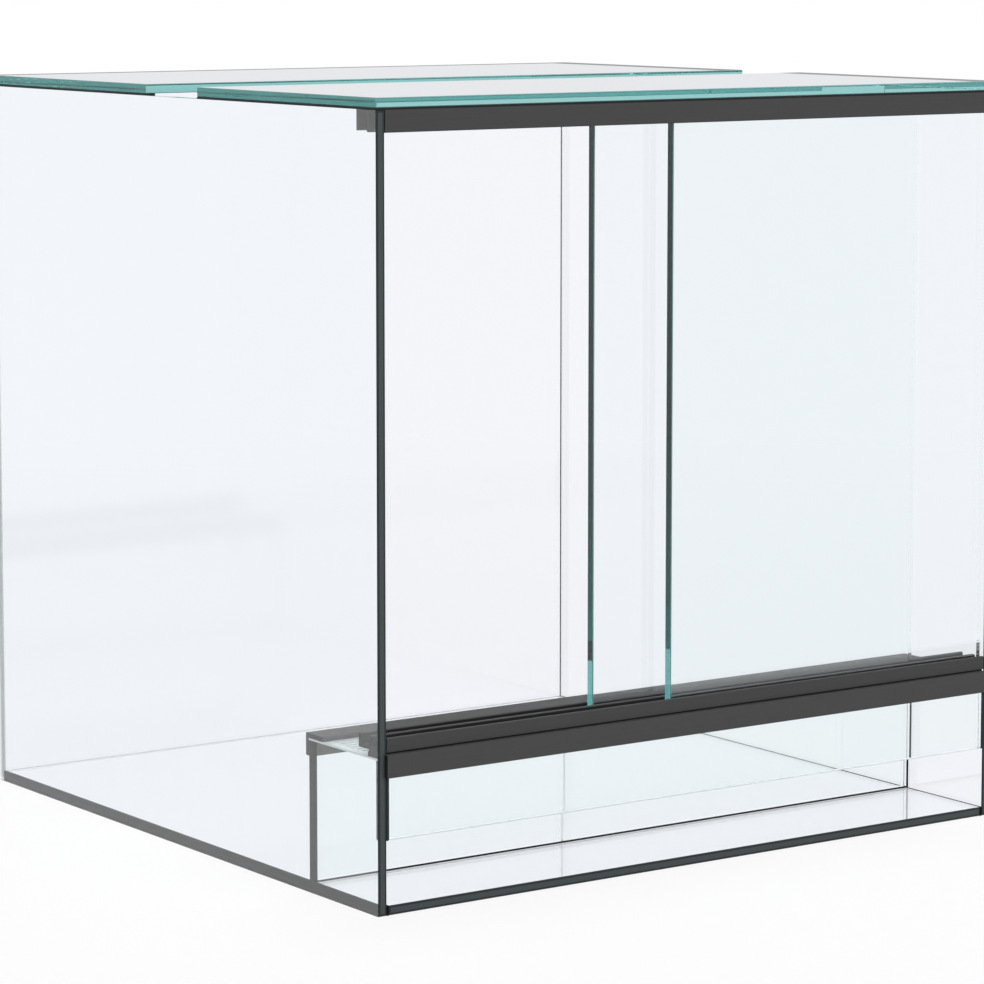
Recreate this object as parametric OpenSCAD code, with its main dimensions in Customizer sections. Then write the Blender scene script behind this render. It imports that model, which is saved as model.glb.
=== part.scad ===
// Front-opening glass terrarium: a bonded glass tank with two sliding glass doors,
// a dammed base, and an air inlet chamber under the doors.
// X runs from left to right, Y from front to back and Z up. All sizes are in millimetres.

/* [Tank] */
// Width over the side panes
tank_w = 400; // [300:10:600]
// Depth over the side panes
tank_d = 396; // [330:2:600]
// Height from the underside to the top of the roof panes
tank_h = 401; // [300:1:600]

/* [Glass] */
// Thickness of the bonded panes
glass_t = 5; // [4:0.5:6]
// Width of the ground bevel along every cut edge of the glass
arris = 0.4; // [0.2:0.1:0.8]

/* [Silicone] */
// Thickness of the silicone between two panes
joint_t = 1; // [0.6:0.1:2]
// Thickness of the bond that carries the lower runner
bond_t = 1; // [0.6:0.1:2]
// How far the bond stays back from the faces of what it joins
bond_inset = 1; // [0.5:0.1:3]

/* [Roof] */
// Depth of the front roof pane
front_lid_d = 167; // [60:1:180]
// Open gap between the two roof panes
roof_gap = 52.5; // [25:0.5:80]

/* [Front chamber] */
// Height of the riser pane that dams the substrate
riser_h = 71; // [50:1:120]
// Distance from the tank's front to the riser pane
riser_setback = 61; // [50:1:90]
// Height of the pane that hangs under the doors
drop_h = 39.5; // [20:0.5:45]

/* [Edge angles] */
// Wall thickness of the edge angles
angle_t = 2.5; // [1.5:0.25:3]
// Width of an angle's web, which lies flat over the vent strip
angle_web = 15.4; // [10:0.2:18]
// Height of an angle's flange, which stands against the pane
angle_leg = 11.5; // [8:0.5:20]
// How far the front flange laps over each side pane's edge
flange_lap = 1; // [0.5:0.25:3]

/* [Door runners] */
// Width of each channel that a door slides in
channel_w = 7.2; // [6.2:0.1:9]
// Thickness of the front and rear runner walls
runner_wall = 2; // [1.5:0.25:3]
// Thickness of the wall between the two channels
mid_wall = 2.6; // [1.5:0.1:4]
// Thickness of the runner web that closes the channels
runner_web = 2; // [1.5:0.25:3]
// Overall height of the lower runner
lower_runner_h = 7; // [5:0.5:10]
// How much shorter the upper runner's rear wall is
rear_lip_cut = 0.5; // [0.2:0.1:1]
// Rounding along the lip of each wall and leg
lip_r = 0.4; // [0.2:0.1:0.6]

/* [Doors] */
// Thickness of the door glass
door_t = 5; // [4:0.5:5.5]
// Overlap of the two doors when both are shut
door_overlap = 35.6; // [15:0.2:80]
// How deep a door stands in the upper runner
upper_hold = 3.3; // [2:0.1:6]
// Room left over when a door is lifted out of the lower runner
lift_clear = 0.7; // [0.3:0.1:1.5]
// How far the left door is slid open, as a share of its travel
left_door_open = 0.76; // [0:0.01:1]
// How far the right door is slid open, as a share of its travel
right_door_open = 0; // [0:0.01:1]

/* [Vent strip] */
// Thickness of the perforated strip
strip_t = 1; // [0.6:0.1:2]
// Length of one slot, over its round ends
slot_l = 12; // [6:0.5:14]
// Width of one slot
slot_w = 2.2; // [1.2:0.1:3]
// Distance from slot to slot along the strip
slot_pitch_x = 16; // [15.5:0.5:24]
// Distance from row to row across the strip
slot_pitch_y = 5; // [4:0.25:8]
// Unpierced border around the slots
slot_margin = 2.5; // [1.5:0.5:6]

/* [Clearances] */
// Gap left at each end of a profile, and around a door as it runs
fit_gap = 0.3; // [0.1:0.05:0.5]

/* [Hidden] */
$fn = 48;
// Inner faces of the side and rear panes
in_x0 = glass_t;
in_x1 = tank_w - glass_t;
in_y1 = tank_d - glass_t;
// Faces of the panes that stand between the side panes, a joint away from them
mid_x0 = in_x0 + joint_t;
mid_x1 = in_x1 - joint_t;
// Ends of the profiles, the strip and the doors' travel
fit_x0 = in_x0 + fit_gap;
fit_x1 = in_x1 - fit_gap;
// Levels, from the floor up
floor_z = glass_t;
riser_z = floor_z + joint_t;
strip_z = riser_z + riser_h;
web_z = strip_z + strip_t;
sill_z = web_z + angle_t;
runner_z = sill_z + bond_t;
flange_z = sill_z - angle_leg;
drop_z = strip_z - drop_h;
lid_z = tank_h - glass_t;
wall_top = lid_z - joint_t;
// The riser pane's back, and the inner face of the angle bonded behind it
riser_back = riser_setback + glass_t;
riser_angle_y = riser_back + joint_t;
rear_lid_y = front_lid_d + roof_gap;
// Runner profile
front_channel_y = runner_wall;
rear_channel_y = runner_wall + channel_w + mid_wall;
runner_d = rear_channel_y + channel_w + runner_wall;
lower_depth = lower_runner_h - runner_web;
// The upper channels are deeper, so that a door can be lifted clear of the lower ones
upper_runner_h = runner_web + lower_depth + lift_clear + upper_hold;
// Doors
door_z = runner_z + runner_web + fit_gap;
door_top = wall_top - upper_runner_h + upper_hold;
door_w = (fit_x1 - fit_x0 + door_overlap) / 2;
door_travel = fit_x1 - fit_x0 - door_w;
door_play = (channel_w - door_t) / 2;
// Field of slots, between the lower runner and the riser angle's web
field_y0 = max(runner_d, angle_web - angle_t) + slot_margin;
field_y1 = riser_angle_y + angle_t - angle_web - slot_margin;
field_x0 = fit_x0 + slot_margin;
field_x1 = fit_x1 - slot_margin;
slot_rows = floor((field_y1 - field_y0 - slot_w) / slot_pitch_y) + 1;
slot_columns = floor((field_x1 - field_x0 - slot_l) / slot_pitch_x) + 1;
slots_y0 = (field_y0 + field_y1 - (slot_rows - 1) * slot_pitch_y) / 2;
slots_x0 = (field_x0 + field_x1 - (slot_columns - 1) * slot_pitch_x) / 2;

// Moves the tank's front left bottom corner so that the origin is under the middle of the whole
module placed() {
    translate([-tank_w / 2, -(tank_d - angle_t) / 2, 0]) children();
}

// The other side's copy of a piece drawn at the left
module other_side() {
    translate([tank_w, 0, 0]) mirror([1, 0, 0]) children();
}

// Extrusions of a flat outline along each axis
module along_x(x0, x1) {
    translate([x0, 0, 0]) rotate([90, 0, 90]) linear_extrude(x1 - x0) children();
}
module along_y(y0, y1) {
    translate([0, y1, 0]) rotate([90, 0, 0]) linear_extrude(y1 - y0) children();
}
module along_z(z0, z1) {
    translate([0, 0, z0]) linear_extrude(z1 - z0) children();
}

// A rectangle from corner a to corner b with its four corners bevelled
module arrissed_rectangle(a, b) {
    c = arris;
    polygon([[a.x + c, a.y], [b.x - c, a.y], [b.x, a.y + c], [b.x, b.y - c],
             [b.x - c, b.y], [a.x + c, b.y], [a.x, b.y - c], [a.x, a.y + c]]);
}

// A sheet of glass from corner a to corner b with all twelve edges ground
module pane(a, b) {
    intersection() {
        along_z(a.z, b.z) arrissed_rectangle([a.x, a.y], [b.x, b.y]);
        along_y(a.y, b.y) arrissed_rectangle([a.x, a.z], [b.x, b.z]);
        along_x(a.x, b.x) arrissed_rectangle([a.y, a.z], [b.y, b.z]);
    }
}

// A block of silicone from corner a to corner b
module fill(a, b) {
    translate(a) cube(b - a);
}

// A flat bar, w wide and h tall, with its two upper corners rounded
module lipped_bar(w, h) {
    square([w, h - lip_r]);
    translate([lip_r, 0]) square([w - 2 * lip_r, h]);
    for (x = [lip_r, w - lip_r]) translate([x, h - lip_r]) circle(r = lip_r);
}

// Double channel, open upwards, with its web on the x axis
module runner_section(h, rear_cut) {
    square([runner_d, runner_web]);
    lipped_bar(runner_wall, h);
    translate([front_channel_y + channel_w, 0]) lipped_bar(mid_wall, h);
    translate([runner_d - runner_wall, 0]) lipped_bar(runner_wall, h - rear_cut);
}

// Angle with its outer corner at the origin, its web along +x and its flange down
module angle_section() {
    rotate(-90) lipped_bar(angle_t, angle_web);
    mirror([0, 1]) lipped_bar(angle_t, angle_leg);
}

// Clear glass panes of the tank

module base_pane() {
    color("aliceblue", 0.4)
        placed() pane([mid_x0, 0, 0], [mid_x1, in_y1 - joint_t, floor_z]);
}

module left_side_pane() {
    color("aliceblue", 0.4)
        placed() pane([0, 0, 0], [glass_t, tank_d, wall_top]);
}

module right_side_pane() {
    color("aliceblue", 0.4)
        placed() other_side() pane([0, 0, 0], [glass_t, tank_d, wall_top]);
}

module rear_pane() {
    color("aliceblue", 0.4)
        placed() pane([mid_x0, in_y1, 0], [mid_x1, tank_d, wall_top]);
}

module riser_pane() {
    color("azure", 0.4)
        placed() pane([mid_x0, riser_setback, riser_z], [mid_x1, riser_back, strip_z]);
}

module drop_pane() {
    color("azure", 0.4)
        placed() pane([mid_x0, 0, drop_z], [mid_x1, glass_t, strip_z]);
}

module front_lid_pane() {
    color("darkcyan", 0.5)
        placed() pane([0, 0, lid_z], [tank_w, front_lid_d, tank_h]);
}

module rear_lid_pane() {
    color("darkcyan", 0.5)
        placed() pane([0, rear_lid_y, lid_z], [tank_w, tank_d, tank_h]);
}

// Dark profiles

module riser_angle() {
    color([0.29, 0.29, 0.29])
        placed() along_x(fit_x0, fit_x1)
            translate([riser_angle_y + angle_t, sill_z]) mirror([1, 0]) angle_section();
}

// Its flange hangs in front of the drop pane and laps the side panes, and its web lies between them
module front_angle() {
    color([0.27, 0.27, 0.27])
        placed() {
            intersection() {
                along_x(in_x0 - flange_lap, in_x1 + flange_lap)
                    translate([-angle_t, sill_z]) angle_section();
                union() {
                    fill([0, -angle_t, flange_z], [tank_w, 0, sill_z]);
                    fill([fit_x0, -angle_t, flange_z], [fit_x1, angle_web, sill_z]);
                }
            }
        }
}

module lower_runner() {
    color([0.28, 0.28, 0.28])
        placed() along_x(fit_x0, fit_x1) translate([0, runner_z]) runner_section(lower_runner_h, 0);
}

module upper_runner() {
    color([0.27, 0.27, 0.27])
        placed() along_x(fit_x0, fit_x1)
            translate([0, wall_top]) mirror([0, 1]) runner_section(upper_runner_h, rear_lip_cut);
}

// Strip of pierced sheet that roofs the air chamber

module slot() {
    reach = (slot_l - slot_w) / 2;
    square([2 * reach, slot_w], center = true);
    for (side = [-1, 1]) translate([side * reach, 0]) circle(d = slot_w);
}

module slot_field() {
    for (row = [0:slot_rows - 1], column = [0:slot_columns - 1])
        translate([slots_x0 + column * slot_pitch_x, slots_y0 + row * slot_pitch_y]) slot();
}

module vent_strip() {
    color([0.82, 0.86, 0.86])
        placed() along_z(strip_z, web_z) difference() {
            translate([fit_x0, 0]) square([fit_x1 - fit_x0, riser_angle_y]);
            slot_field();
        }
}

// Doors, at rest as they stand in the photograph

module left_door() {
    x0 = fit_x0 + left_door_open * door_travel;
    y0 = rear_channel_y + door_play;
    color("paleturquoise", 0.4)
        placed() pane([x0, y0, door_z], [x0 + door_w, y0 + door_t, door_top]);
}

module right_door() {
    x1 = fit_x1 - right_door_open * door_travel;
    y0 = front_channel_y + door_play;
    color("paleturquoise", 0.4)
        placed() pane([x1 - door_w, y0, door_z], [x1, y0 + door_t, door_top]);
}

// Silicone. Each seam fills the joint between two pieces and is trimmed flush. It is clear
// where two upright panes or the base meet, and black at the riser's foot and everywhere above.

module floor_side_seam() {
    fill([in_x0, 0, 0], [mid_x0, in_y1, floor_z]);
}

module base_left_seam() {
    color("gainsboro", 0.4) placed() floor_side_seam();
}

module base_right_seam() {
    color("gainsboro", 0.4) placed() other_side() floor_side_seam();
}

module base_rear_seam() {
    color("gainsboro", 0.4)
        placed() fill([mid_x0, in_y1 - joint_t, 0], [mid_x1, in_y1, floor_z]);
}

module rear_corner_seam() {
    fill([in_x0, in_y1, 0], [mid_x0, tank_d, wall_top]);
}

module rear_left_seam() {
    color("gainsboro", 0.4) placed() rear_corner_seam();
}

module rear_right_seam() {
    color("gainsboro", 0.4) placed() other_side() rear_corner_seam();
}

module riser_end_seam() {
    fill([in_x0, riser_setback, floor_z], [mid_x0, riser_back, strip_z]);
}

module riser_left_seam() {
    color("gainsboro", 0.4) placed() riser_end_seam();
}

module riser_right_seam() {
    color("gainsboro", 0.4) placed() other_side() riser_end_seam();
}

module riser_base_seam() {
    color([0.12, 0.12, 0.12])
        placed() fill([mid_x0, riser_setback, floor_z], [mid_x1, riser_back, riser_z]);
}

module riser_angle_bond() {
    color([0.12, 0.12, 0.12])
        placed() fill([fit_x0, riser_back, flange_z], [fit_x1, riser_angle_y, strip_z]);
}

module drop_end_seam() {
    fill([in_x0, 0, drop_z], [mid_x0, glass_t, strip_z]);
}

module drop_left_seam() {
    color("gainsboro", 0.4) placed() drop_end_seam();
}

module drop_right_seam() {
    color("gainsboro", 0.4) placed() other_side() drop_end_seam();
}

// Between the front angle's web and the lower runner, set back so that a dark groove shows
module runner_bond() {
    color([0.12, 0.12, 0.12])
        placed() fill([fit_x0, bond_inset, sill_z],
                      [fit_x1, angle_web - angle_t - bond_inset, runner_z]);
}

// One layer under each roof pane, along the side panes and over the runner or the rear pane
module front_lid_seam() {
    color([0.12, 0.12, 0.12])
        placed() along_z(wall_top, lid_z) difference() {
            square([tank_w, front_lid_d]);
            translate([mid_x0, runner_d]) square([mid_x1 - mid_x0, front_lid_d]);
        }
}

module rear_lid_seam() {
    color([0.12, 0.12, 0.12])
        placed() along_z(wall_top, lid_z) difference() {
            translate([0, rear_lid_y]) square([tank_w, tank_d - rear_lid_y]);
            translate([mid_x0, 0]) square([mid_x1 - mid_x0, in_y1 - joint_t]);
        }
}

base_pane();
left_side_pane();
right_side_pane();
rear_pane();
riser_pane();
drop_pane();
front_lid_pane();
rear_lid_pane();
riser_angle();
front_angle();
vent_strip();
lower_runner();
upper_runner();
left_door();
right_door();
base_left_seam();
base_right_seam();
base_rear_seam();
rear_left_seam();
rear_right_seam();
riser_left_seam();
riser_right_seam();
riser_base_seam();
riser_angle_bond();
runner_bond();
drop_left_seam();
drop_right_seam();
front_lid_seam();
rear_lid_seam();
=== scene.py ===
from math import radians

import bmesh
import bpy
from mathutils import Matrix, Vector


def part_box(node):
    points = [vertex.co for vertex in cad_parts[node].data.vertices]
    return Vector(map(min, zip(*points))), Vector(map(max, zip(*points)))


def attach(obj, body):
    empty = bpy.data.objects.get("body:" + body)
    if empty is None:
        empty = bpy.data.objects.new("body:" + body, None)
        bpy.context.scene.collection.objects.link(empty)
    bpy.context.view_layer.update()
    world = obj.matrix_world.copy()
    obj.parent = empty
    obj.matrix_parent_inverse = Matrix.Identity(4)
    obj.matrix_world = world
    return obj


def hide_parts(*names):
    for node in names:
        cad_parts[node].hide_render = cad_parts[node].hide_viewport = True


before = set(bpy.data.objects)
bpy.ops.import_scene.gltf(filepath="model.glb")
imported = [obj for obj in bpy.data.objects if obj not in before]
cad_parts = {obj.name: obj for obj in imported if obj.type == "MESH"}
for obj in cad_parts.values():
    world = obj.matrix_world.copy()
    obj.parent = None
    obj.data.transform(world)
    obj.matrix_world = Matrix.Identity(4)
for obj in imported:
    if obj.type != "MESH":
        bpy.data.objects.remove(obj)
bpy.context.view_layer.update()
scene = bpy.context.scene


# ---- Camera --------------------------------------------------------------------------------
# The tank is looked at from the front left, from just above its roof, with a long lens from a
# little over two metres away.

LENS_MM = 144.7
SENSOR_MM = 36.0
CAMERA_PLACE = (-1.2435, -1.7816, 0.4759)
CAMERA_YAW = 35.0409
CAMERA_PITCH = 6.5401
FRAMING_SHIFT = -0.1
NEAREST, FARTHEST = 0.05, 100.0

camera_data = bpy.data.cameras.new("camera")
camera_data.lens = LENS_MM
camera_data.sensor_width = SENSOR_MM
camera_data.shift_y = FRAMING_SHIFT
camera_data.clip_start = NEAREST
camera_data.clip_end = FARTHEST
camera = bpy.data.objects.new("camera", camera_data)
camera.location = CAMERA_PLACE
camera.rotation_euler = (radians(90.0 - CAMERA_PITCH), 0.0, -radians(CAMERA_YAW))
scene.collection.objects.link(camera)
scene.camera = camera


# ---- Studio --------------------------------------------------------------------------------
# A white room: a large soft lamp in front, a weaker one high up behind, and a pale floor that
# runs out to plain white. Light needs many bounces to get out of the glass again.

ROOM_WHITE = (1.0, 1.0, 1.0, 1.0)
AMBIENT = 0.50
KEY_WATTS, KEY_SIZE, KEY_PLACE = 64.0, 2.2, (0.4, -2.9, 2.6)
FILL_WATTS, FILL_SIZE, FILL_PLACE = 45.0, 2.4, (2.0, 1.4, 3.4)
LOOK_AT = Vector((0.0, 0.0, 0.2))
FLOOR_REACH = 30.0
FLOOR_DROP = 0.0003
FLOOR_ALBEDO = (0.55, 0.55, 0.55, 1.0)
SHADOW_ALBEDO = (0.9, 0.9, 0.9, 1.0)
SHADOW_SHARE = 0.15
SHADOW_FADE = (0.5, 1.6)
WHOLE = (0.0, 1.0)
GLASS_BOUNCES, MIRROR_BOUNCES, CLEAR_BOUNCES = 90, 80, 40

scene.view_settings.view_transform = "Standard"
scene.cycles.max_bounces = GLASS_BOUNCES
scene.cycles.transmission_bounces = GLASS_BOUNCES
scene.cycles.glossy_bounces = MIRROR_BOUNCES
scene.cycles.transparent_max_bounces = CLEAR_BOUNCES


def new_material(name):
    """An empty node material with its output node."""
    material = bpy.data.materials.new(name)
    material.use_nodes = True
    material.node_tree.nodes.clear()
    output = material.node_tree.nodes.new("ShaderNodeOutputMaterial")
    return material, material.node_tree, output


def feed(tree, socket, source):
    """Gives a socket its value, from another socket or as it is written."""
    if isinstance(source, bpy.types.NodeSocket):
        tree.links.new(source, socket)
    else:
        socket.default_value = source


def add(tree, kind, **values):
    """A node of a tree. Its properties are set by name, and its sockets are fed by their
    label, with an underscore for each space."""
    node = tree.nodes.new("ShaderNode" + kind)
    for key, value in values.items():
        if hasattr(node, key):
            setattr(node, key, value)
        else:
            feed(tree, node.inputs[key.replace("_", " ")], value)
    return node


def combine(tree, operation, *terms):
    """The result of a Math node over sockets and numbers."""
    node = add(tree, "Math", operation=operation)
    for socket, term in zip(node.inputs, terms):
        feed(tree, socket, term)
    return node.outputs[0]


def ramp(tree, source, taken, given=WHOLE):
    """Turns one range of a value into another, and holds it at their ends."""
    node = add(tree, "MapRange", Value=source, From_Min=taken[0], From_Max=taken[1],
               To_Min=given[0], To_Max=given[1])
    return node.outputs["Result"]


def either(tree, share, first, second):
    """The first shader where the share is 0, and the second one where it is 1."""
    node = add(tree, "MixShader")
    for socket, source in zip(node.inputs, (share, first, second)):
        tree.links.new(source, socket)
    return node.outputs[0]


def seen_not_lit(tree):
    """1 for rays that show the room (camera, mirror or glass rays), and 0 for lighting rays."""
    path = add(tree, "LightPath")
    total = path.outputs["Is Camera Ray"]
    for ray in ("Is Glossy Ray", "Is Transmission Ray"):
        total = combine(tree, "MAXIMUM", total, path.outputs[ray])
    return total


def lamp(name, watts, size, place, mirrored):
    """A square soft lamp that looks at the tank, and shows or doesn't show in its glass."""
    data = bpy.data.lights.new(name, "AREA")
    data.energy = watts
    data.size = size
    lamp_object = bpy.data.objects.new(name, data)
    lamp_object.location = place
    lamp_object.rotation_mode = "QUATERNION"
    lamp_object.rotation_quaternion = (LOOK_AT - Vector(place)).to_track_quat("-Z", "Y")
    lamp_object.visible_glossy = mirrored
    scene.collection.objects.link(lamp_object)


def set_up(name, form, materials):
    """An object in the scene from a finished form."""
    mesh = bpy.data.meshes.new(name)
    form.to_mesh(mesh)
    form.free()
    for material in materials:
        mesh.materials.append(material)
    piece = bpy.data.objects.new(name, mesh)
    scene.collection.objects.link(piece)
    return piece


lamp("key_lamp", KEY_WATTS, KEY_SIZE, KEY_PLACE, True)
lamp("fill_lamp", FILL_WATTS, FILL_SIZE, FILL_PLACE, False)

world = bpy.data.worlds.new("room")
world.use_nodes = True
scene.world = world
room = world.node_tree
room.nodes.clear()
room_level = ramp(room, seen_not_lit(room), WHOLE, (AMBIENT, 1.0))
room_light = add(room, "Background", Color=ROOM_WHITE, Strength=room_level)
add(room, "OutputWorld", Surface=room_light.outputs[0])

floor_paint, tree, output = new_material("floor_paint")
lit = add(tree, "BsdfDiffuse", Color=FLOOR_ALBEDO)
catching = add(tree, "BsdfDiffuse", Color=SHADOW_ALBEDO)
white = add(tree, "Emission", Color=ROOM_WHITE, Strength=1.0)
coords = add(tree, "TexCoord")
away = add(tree, "VectorMath", operation="LENGTH")
tree.links.new(coords.outputs["Object"], away.inputs[0])
fade = ramp(tree, away.outputs["Value"], SHADOW_FADE, (SHADOW_SHARE, 0.0))
shown = either(tree, fade, white.outputs[0], catching.outputs[0])
paint = either(tree, seen_not_lit(tree), lit.outputs[0], shown)
tree.links.new(paint, output.inputs["Surface"])

floor_form = bmesh.new()
bmesh.ops.create_grid(floor_form, x_segments=1, y_segments=1, size=FLOOR_REACH)
bmesh.ops.translate(floor_form, verts=floor_form.verts, vec=(0.0, 0.0, -FLOOR_DROP))
floor = set_up("floor", floor_form, [floor_paint])


# ---- Clear panes of the tank ---------------------------------------------------------------
# Base, sides, rear, riser and drop pane: 5 mm float glass, cut to size. Ground edges have a
# 0.4 mm bevel and look charcoal, from the dark inside of the sheet, except the rear pane's left
# edge and the drop pane's lower edge, which look pale. The charcoal edges' bevels and a thin
# border of each cut face are painted darker still: painted shade along the edges. All other
# edges are square and clear.

ARRIS = 0.0004
# Width of the border of painted shade on each charcoal cut face.
PAINTED_SHADE_BORDER = 0.0008
HAIR_GAP = 0.00002
GLASS_IOR = 1.5
STILL_GLASS = (0.0, 0.015)
BACK_HAZE = (0.055, 0.07)
BASE_HAZE = (0.02, 0.04)
CLEAR_TINT = (0.912, 0.924, 0.958, 1.0)
CLEAR_TINT_THICK = (0.906, 0.920, 0.956, 1.0)
SIDE_TINT = (0.966, 0.985, 0.990, 1.0)
SIDE_TINT_THICK = (0.960, 0.983, 0.989, 1.0)
BASE_TINT = (0.900, 0.915, 0.945, 1.0)
BASE_TINT_THICK = (0.894, 0.911, 0.943, 1.0)
FRONT_TINT = (0.958, 0.987, 0.980, 1.0)
FRONT_TINT_THICK = (0.952, 0.985, 0.978, 1.0)
EDGE_DARK = (0.056, 0.068, 0.072, 1.0)
EDGE_DARK_WORN = (0.072, 0.085, 0.090, 1.0)
EDGE_PALE = (0.84, 0.87, 0.87, 1.0)
EDGE_PALE_WORN = (0.90, 0.93, 0.93, 1.0)
# Painted shade: the charcoal edges' bevels and a thin border of their cut faces are darker
# still.
ARRIS_PAINTED_SHADE = (0.022, 0.030, 0.031, 1.0)
ARRIS_PAINTED_SHADE_WORN = (0.034, 0.042, 0.043, 1.0)
NOISE_DETAIL = 3.0
TINT_DRIFT_SCALE = 4.0
TINT_DRIFT = (0.3, 0.7)
GRAIN_SCALE = 900.0
GRAIN_STRENGTH, GRAIN_DEPTH = 0.15, 0.00005
NO_STRETCH = (1.0, 1.0, 1.0)
COLOUR_A, COLOUR_B, COLOUR_OUT = 6, 7, 2
SQUARE_ON, TURNED_TO = 0.99, 0.1
SIDES = {"left": Vector((-1, 0, 0)), "right": Vector((1, 0, 0)), "front": Vector((0, -1, 0)),
         "back": Vector((0, 1, 0)), "bottom": Vector((0, 0, -1))}
UPRIGHTS = ("left", "right")
ALL_ROUND = ("left", "right", "front", "back")
CUT, BEVEL, PALE = 1, 2, 3


def mixed_colour(tree, share, low, high):
    """A colour between two others, of which each is a socket or a value."""
    blend = add(tree, "Mix", data_type="RGBA", Factor=share)
    feed(tree, blend.inputs[COLOUR_A], low)
    feed(tree, blend.inputs[COLOUR_B], high)
    return blend.outputs[COLOUR_OUT]


def noise_between(tree, low, high, scale, stretch=NO_STRETCH):
    """A colour that drifts between two values over the piece, and the noise behind it."""
    coords = add(tree, "TexCoord")
    mapping = add(tree, "Mapping", Vector=coords.outputs["Object"], Scale=stretch)
    noise = add(tree, "TexNoise", Vector=mapping.outputs["Vector"], Scale=scale,
                Detail=NOISE_DETAIL)
    share = noise.outputs["Fac"]
    return mixed_colour(tree, share, low, high), share


def clear_glass(tree, tint, thick_tint, haze=STILL_GLASS, ior=GLASS_IOR):
    """Glass that lamps shine through. Its tint and its clearness drift a little."""
    colour, drift = noise_between(tree, tint, thick_tint, TINT_DRIFT_SCALE)
    glass = add(tree, "BsdfPrincipled", Base_Color=colour, IOR=ior, Transmission_Weight=1.0,
                Roughness=ramp(tree, drift, TINT_DRIFT, haze))
    lamps_through = add(tree, "BsdfTransparent", Color=tint)
    path = add(tree, "LightPath")
    return either(tree, path.outputs["Is Shadow Ray"], glass.outputs[0],
                  lamps_through.outputs[0])


def pane_face(name, tint, thick_tint, haze=STILL_GLASS):
    """A sheet's face, or an edge that is polished clear."""
    material, tree, output = new_material(name)
    tree.links.new(clear_glass(tree, tint, thick_tint, haze), output.inputs["Surface"])
    return material


def pane_edge(name, colour, worn, tint, thick_tint, roughness, specular):
    """A cut edge: ground and coloured from outside, and smooth glass from inside."""
    material, tree, output = new_material(name)
    shade, grain = noise_between(tree, colour, worn, GRAIN_SCALE)
    bump = add(tree, "Bump", Height=grain, Strength=GRAIN_STRENGTH, Distance=GRAIN_DEPTH)
    ground = add(tree, "BsdfPrincipled", Base_Color=shade, Roughness=roughness,
                 Specular_IOR_Level=specular, Normal=bump.outputs[0])
    side = add(tree, "NewGeometry")
    shader = either(tree, side.outputs["Backfacing"], ground.outputs[0],
                    clear_glass(tree, tint, thick_tint))
    tree.links.new(shader, output.inputs["Surface"])
    return material


def clear_sheet(name, tint, thick_tint, haze=STILL_GLASS):
    """The materials of a clear pane: its faces, its dark cut edges, and their bevels, which are
    painted darker as painted shade.
    """
    return [pane_face(name + "_face", tint, thick_tint, haze),
            pane_edge(name + "_edge", EDGE_DARK, EDGE_DARK_WORN, tint, thick_tint,
                      roughness=0.4, specular=0.2),
            # The bevels and the border of each cut face get a darker painted shade.
            pane_edge(name + "_arris", ARRIS_PAINTED_SHADE, ARRIS_PAINTED_SHADE_WORN, tint, thick_tint,
                      roughness=0.4, specular=0.15)]


def relief_skin(tree, shade, ripple, roughness, specular, bump_strength, bump_depth,
                silver=0.0):
    """The shader of a skin whose gloss and fine relief follow one noise."""
    bump = add(tree, "Bump", Height=ripple, Strength=bump_strength, Distance=bump_depth)
    skin = add(tree, "BsdfPrincipled", Base_Color=shade, Metallic=silver,
               Roughness=ramp(tree, ripple, WHOLE, roughness), Specular_IOR_Level=specular,
               Normal=bump.outputs[0])
    return skin.outputs[0]


def dull_skin(name, low, high, scale, stretch=NO_STRETCH, **finish):
    """A skin whose colour follows the same noise as its gloss and relief."""
    material, tree, output = new_material(name)
    shade, ripple = noise_between(tree, low, high, scale, stretch)
    tree.links.new(relief_skin(tree, shade, ripple, **finish), output.inputs["Surface"])
    return material


def cut_pane(node, body, materials, ground, pale=(), border=PAINTED_SHADE_BORDER):
    """A sheet of glass in a node's box. Its ground edges are bevelled. They have the second
    material inside a border of the third one, which their bevels have too, and pale edges
    have the fourth. Its faces and all other edges have the first one, and stay square."""
    low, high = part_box(node)
    size = high - low - Vector((2 * HAIR_GAP,) * 3)
    finished = (*ground, *pale)
    form = bmesh.new()
    bmesh.ops.create_cube(form, size=1.0, matrix=Matrix.Translation((low + high) / 2)
                          @ Matrix.Diagonal((*size, 1.0)))
    keen = [edge for edge in form.edges
            if any(face.normal.dot(SIDES[side]) > SQUARE_ON
                   for face in edge.link_faces for side in finished)]
    bmesh.ops.bevel(form, geom=keen, offset=ARRIS, offset_type="OFFSET",
                    affect="EDGES", segments=1, profile=0.5, material=-1)
    bmesh.ops.recalc_face_normals(form, faces=form.faces[:])
    cuts = []
    for face in form.faces:
        for side in finished:
            facing = face.normal.dot(SIDES[side])
            if facing > TURNED_TO:
                face.material_index = PALE if side in pale else BEVEL
            if facing > SQUARE_ON and side in ground:
                cuts.append(face)
    for face in cuts:
        if border:
            bmesh.ops.inset_region(form, faces=[face], thickness=border, use_even_offset=True)
        face.material_index = CUT
    pane = set_up(node + "_glass", form, materials)
    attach(pane, body)
    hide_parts(node)


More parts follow.
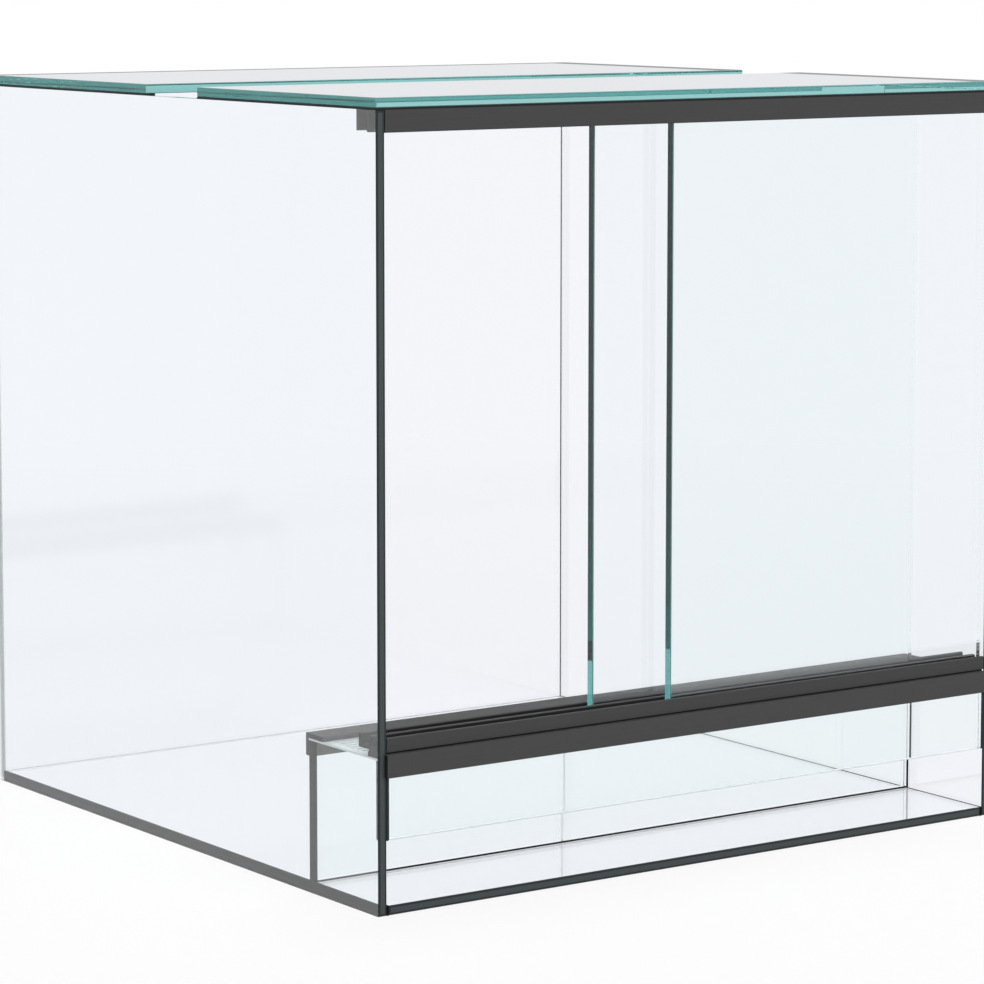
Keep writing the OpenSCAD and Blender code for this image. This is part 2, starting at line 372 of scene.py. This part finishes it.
side_sheet = clear_sheet("side", SIDE_TINT, SIDE_TINT_THICK)
far_sheet = clear_sheet("far", CLEAR_TINT, CLEAR_TINT_THICK)
back_sheet = clear_sheet("back", CLEAR_TINT, CLEAR_TINT_THICK, BACK_HAZE)
base_sheet = clear_sheet("base", BASE_TINT, BASE_TINT_THICK, BASE_HAZE)
front_sheet = clear_sheet("front", FRONT_TINT, FRONT_TINT_THICK)
pale_edge = dull_skin(
    "pale_edge", EDGE_PALE, EDGE_PALE_WORN, GRAIN_SCALE, roughness=(0.5, 0.6), specular=0.2,
    bump_strength=GRAIN_STRENGTH, bump_depth=GRAIN_DEPTH, silver=0.6)
cut_pane("left_side_pane", "tank", side_sheet, ("front", "back"))
cut_pane("right_side_pane", "tank", far_sheet, ("front", "back"))
cut_pane("rear_pane", "tank", back_sheet + [pale_edge], (), ("left",))
cut_pane("base_pane", "tank", base_sheet, ALL_ROUND)
cut_pane("riser_pane", "tank", front_sheet, UPRIGHTS)
cut_pane("drop_pane", "tank", front_sheet + [pale_edge], UPRIGHTS, ("bottom",))


# ---- Roof panes ----------------------------------------------------------------------------
# Two sheets of green float glass, laid on the side panes with a gap between. Their edges are
# polished and open to the room, so they show the green of the glass along its length. Seen
# flat, their tops mirror the white room. A grey line of painted shade darkens that mirror along
# the right and rear edges, standing in for the far edges seen through the glass.

GREEN_CLEAR = (1.0, 1.0, 1.0, 1.0)
GREEN_CLEAR_THICK = (0.988, 0.992, 0.992, 1.0)
GREEN_BODY = (0.092, 0.618, 0.605, 1.0)
GREEN_DENSITY = 7.6
GREEN_ARRIS = (0.17, 0.34, 0.33, 1.0)
GREEN_ARRIS_WORN = (0.24, 0.43, 0.42, 1.0)
ROOF_SHEEN = (0.80, 0.81, 0.83, 1.0)
# Painted shade: the grey of the sheen in a line along the right and rear roof edges.
PAINTED_RIM_SHADE = (0.34, 0.35, 0.36, 1.0)
SHEEN_ROUGHNESS = 0.03
SEEN_FLAT = (0.86, 0.95)
# Width of that painted line along the right and the rear edge, and how it fades in.
RIGHT_PAINTED_RIM, REAR_PAINTED_RIM = 0.016, 0.011
PAINTED_RIM_FADE = 1.2


def axes_of(tree, kind):
    """The X, Y and Z of a point's place (Object) or of the way its surface looks (Normal)."""
    coords = add(tree, "TexCoord")
    axes = add(tree, "SeparateXYZ", Vector=coords.outputs[kind])
    return axes.outputs


def tint_body(colour, density, *materials):
    """Fills glass with a colour that light gathers on its way through."""
    for material in materials:
        tree = material.node_tree
        body = add(tree, "VolumeAbsorption", Color=colour, Density=density)
        output = next(node for node in tree.nodes if node.type == "OUTPUT_MATERIAL")
        tree.links.new(body.outputs[0], output.inputs["Volume"])
    return list(materials)


def green_sheet(name, face):
    """The materials of a green sheet: its faces, its polished edges and their bevels."""
    edge = pane_face(name + "_edge", GREEN_CLEAR, GREEN_CLEAR_THICK)
    arris = pane_edge(name + "_arris", GREEN_ARRIS, GREEN_ARRIS_WORN, GREEN_CLEAR,
                      GREEN_CLEAR_THICK, roughness=0.5, specular=0.2)
    return tint_body(GREEN_BODY, GREEN_DENSITY, face, edge, arris)


roof_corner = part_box("rear_lid_pane")[1]
roof_face, tree, output = new_material("roof_face")
graze = add(tree, "LayerWeight", Blend=0.5)
side = add(tree, "NewGeometry")
outside = combine(tree, "SUBTRACT", 1.0, side.outputs["Backfacing"])
weight = combine(tree, "MULTIPLY", ramp(tree, graze.outputs["Facing"], SEEN_FLAT), outside)
place = axes_of(tree, "Object")
# Painted shade: the sheen is darkened in strips along the right and rear edges.
painted_rim_masks = [ramp(tree, place[axis], (edge - PAINTED_RIM_FADE * width, edge - width))
        for axis, edge, width in (("X", roof_corner.x, RIGHT_PAINTED_RIM),
                                  ("Y", roof_corner.y, REAR_PAINTED_RIM))]
painted_rim_colour = mixed_colour(tree, combine(tree, "MAXIMUM", *painted_rim_masks), ROOF_SHEEN, PAINTED_RIM_SHADE)
sheen = add(tree, "BsdfAnisotropic", Color=painted_rim_colour, Roughness=SHEEN_ROUGHNESS)
shader = either(tree, weight, clear_glass(tree, GREEN_CLEAR, GREEN_CLEAR_THICK),
                sheen.outputs[0])
tree.links.new(shader, output.inputs["Surface"])
roof_glass = green_sheet("roof", roof_face)
cut_pane("front_lid_pane", "tank", roof_glass, ALL_ROUND, border=0.0)
cut_pane("rear_lid_pane", "tank", roof_glass, ALL_ROUND, border=0.0)


# ---- Doors ---------------------------------------------------------------------------------
# Two sheets of the same green float glass that slide past each other, with polished edges. The
# left upright edge of each has a fine bevel. The left door stands open behind the right one.

door_glass = green_sheet("door", pane_face("door_face", GREEN_CLEAR, GREEN_CLEAR_THICK))
cut_pane("left_door", "left_door", door_glass, ("left",), border=0.0)
cut_pane("right_door", "right_door", door_glass, ("left",), border=0.0)


# ---- Profiles ------------------------------------------------------------------------------
# Two double runners for the doors and two edge angles: charcoal extrusions with a satin skin,
# which carries fine lines along its length from the die. Their end faces and the insides of
# the runners' channels are painted darker: painted shade, where less light reaches.

RUNNER_CHARCOAL = (0.068, 0.068, 0.069, 1.0)
RUNNER_WORN = (0.078, 0.078, 0.079, 1.0)
ANGLE_CHARCOAL = (0.074, 0.074, 0.074, 1.0)
ANGLE_WORN = (0.085, 0.085, 0.085, 1.0)
# Painted shade for the profiles' end faces and the insides of their channels.
PROFILE_PAINTED_SHADE = (0.024, 0.025, 0.026, 1.0)
DIE_LINES = (0.02, 1.0, 1.0)
DIE_LINE_SCALE = 1400.0
# How squarely a face must look along the profile to take that painted shade.
END_SHADE_TURN = (0.8, 0.9)
LIP_DEPTH = 0.0006


def extruded_skin(name, colour, worn, channels=()):
    """Charcoal skin along the profile, with a darker painted shade on the faces that look along
    it, its ends, and inside its channels. Each of channels is an axis and two places on it: the
    skin ends at the first and the painted shade starts at the second, where all the axes agree."""
    material, tree, output = new_material(name)
    skin_shade, lines = noise_between(tree, colour, worn, DIE_LINE_SCALE, DIE_LINES)
    # Painted shade: faces that look along X, the profile's ends, and the channels' insides are
    # darkened.
    sideways = combine(tree, "ABSOLUTE", axes_of(tree, "Normal")["X"])
    painted_shade_mask = ramp(tree, sideways, END_SHADE_TURN)
    if channels:
        place = axes_of(tree, "Object")
        inside = 1.0
        for axis, start, stop in channels:
            inside = combine(tree, "MULTIPLY", inside, ramp(tree, place[axis], (start, stop)))
        painted_shade_mask = combine(tree, "MAXIMUM", painted_shade_mask, inside)
    skin = relief_skin(tree, mixed_colour(tree, painted_shade_mask, skin_shade, PROFILE_PAINTED_SHADE), lines,
                       roughness=(0.55, 0.72), specular=0.06, bump_strength=0.25,
                       bump_depth=0.00003)
    tree.links.new(skin, output.inputs["Surface"])
    return material


def finish_node(node, material):
    """Gives a CAD node's object its material."""
    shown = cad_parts[node]
    shown.data.materials.clear()
    shown.data.materials.append(material)


runner_low, runner_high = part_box("lower_runner")
rail_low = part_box("upper_runner")[0]
# Spans of the runners' channels, whose insides take painted shade.
behind_lip = ("Y", runner_low.y + LIP_DEPTH / 2, runner_low.y + LIP_DEPTH)
before_back = ("Y", runner_high.y - LIP_DEPTH / 2, runner_high.y - LIP_DEPTH)
runner_skin = extruded_skin("runner_skin", RUNNER_CHARCOAL, RUNNER_WORN, (
    behind_lip, before_back,
    ("Z", runner_low.z + LIP_DEPTH / 2, runner_low.z + LIP_DEPTH),
    ("Z", runner_high.z - LIP_DEPTH / 2, runner_high.z - LIP_DEPTH)))
rail_skin = extruded_skin("rail_skin", RUNNER_CHARCOAL, RUNNER_WORN, (
    behind_lip, before_back,
    ("Z", rail_low.z + 2 * LIP_DEPTH, rail_low.z + 3 * LIP_DEPTH)))
angle_skin = extruded_skin("angle_skin", ANGLE_CHARCOAL, ANGLE_WORN)
finish_node("lower_runner", runner_skin)
finish_node("upper_runner", rail_skin)
finish_node("front_angle", angle_skin)
finish_node("riser_angle", angle_skin)


# ---- Vent strip ----------------------------------------------------------------------------
# A pale pierced sheet that roofs the air chamber below the doors. Its skin is brushed along
# the strip and a little brighter where it was wiped.

SHEET_PALE = (0.64, 0.70, 0.70, 1.0)
SHEET_BRIGHT = (0.74, 0.79, 0.79, 1.0)
BRUSH_LINES = (0.03, 1.0, 1.0)

sheet_skin = dull_skin(
    "sheet_skin", SHEET_PALE, SHEET_BRIGHT, scale=900.0, stretch=BRUSH_LINES,
    roughness=(0.25, 0.42), specular=0.5, bump_strength=0.2, bump_depth=0.00002, silver=0.35)
finish_node("vent_strip", sheet_skin)


# ---- Silicone ------------------------------------------------------------------------------
# Every joint is a millimetre of silicone, run in wet and trimmed flush. It is black under the
# roof panes, the riser and the profiles. The rest is clear: at the rear it looks clear, and
# on a ground edge it looks dark, because it wets that edge and shows its colour.

SILICONE_BLACK = (0.010, 0.011, 0.012, 1.0)
SILICONE_WORN = (0.017, 0.018, 0.019, 1.0)
SILICONE_CLEAR = (0.97, 0.975, 0.98, 1.0)
SILICONE_MILKY = (0.94, 0.95, 0.955, 1.0)
SILICONE_BODY = (0.08, 0.09, 0.10, 1.0)
THIN_DENSITY, DEEP_DENSITY, CORNER_DENSITY = 125.0, 1000.0, 2400.0
EDGE_WET = (0.007, 0.009, 0.010, 1.0)
EDGE_WET_WORN = (0.013, 0.015, 0.016, 1.0)
DROP_WET = (0.030, 0.035, 0.037, 1.0)
DROP_WET_WORN = (0.044, 0.050, 0.052, 1.0)
BONDED_IOR = 1.0


def clear_silicone(name, density):
    """Silicone that is bonded to glass, so its faces don't mirror."""
    material, tree, output = new_material(name)
    tree.links.new(clear_glass(tree, SILICONE_CLEAR, SILICONE_MILKY, ior=BONDED_IOR),
                   output.inputs["Surface"])
    return tint_body(SILICONE_BODY, density, material)[0]


black_silicone = dull_skin(
    "black_silicone", SILICONE_BLACK, SILICONE_WORN, scale=120.0, roughness=(0.35, 0.55),
    specular=0.15, bump_strength=0.3, bump_depth=0.0002)
edge_silicone = dull_skin(
    "edge_silicone", EDGE_WET, EDGE_WET_WORN, scale=300.0, roughness=(0.5, 0.65),
    specular=0.02, bump_strength=0.2, bump_depth=0.0001)
drop_silicone = dull_skin(
    "drop_silicone", DROP_WET, DROP_WET_WORN, scale=300.0, roughness=(0.5, 0.65),
    specular=0.05, bump_strength=0.2, bump_depth=0.0001)
for material, seams in (
        (black_silicone, ("riser_base_seam", "riser_angle_bond", "runner_bond",
                          "front_lid_seam", "rear_lid_seam")),
        (edge_silicone, ("base_left_seam", "base_right_seam", "riser_left_seam",
                         "riser_right_seam")),
        (drop_silicone, ("drop_left_seam", "drop_right_seam")),
        (clear_silicone("thin_silicone", THIN_DENSITY), ("rear_left_seam",)),
        (clear_silicone("deep_silicone", DEEP_DENSITY), ("base_rear_seam",)),
        (clear_silicone("corner_silicone", CORNER_DENSITY), ("rear_right_seam",))):
    for seam in seams:
        finish_node(seam, material)
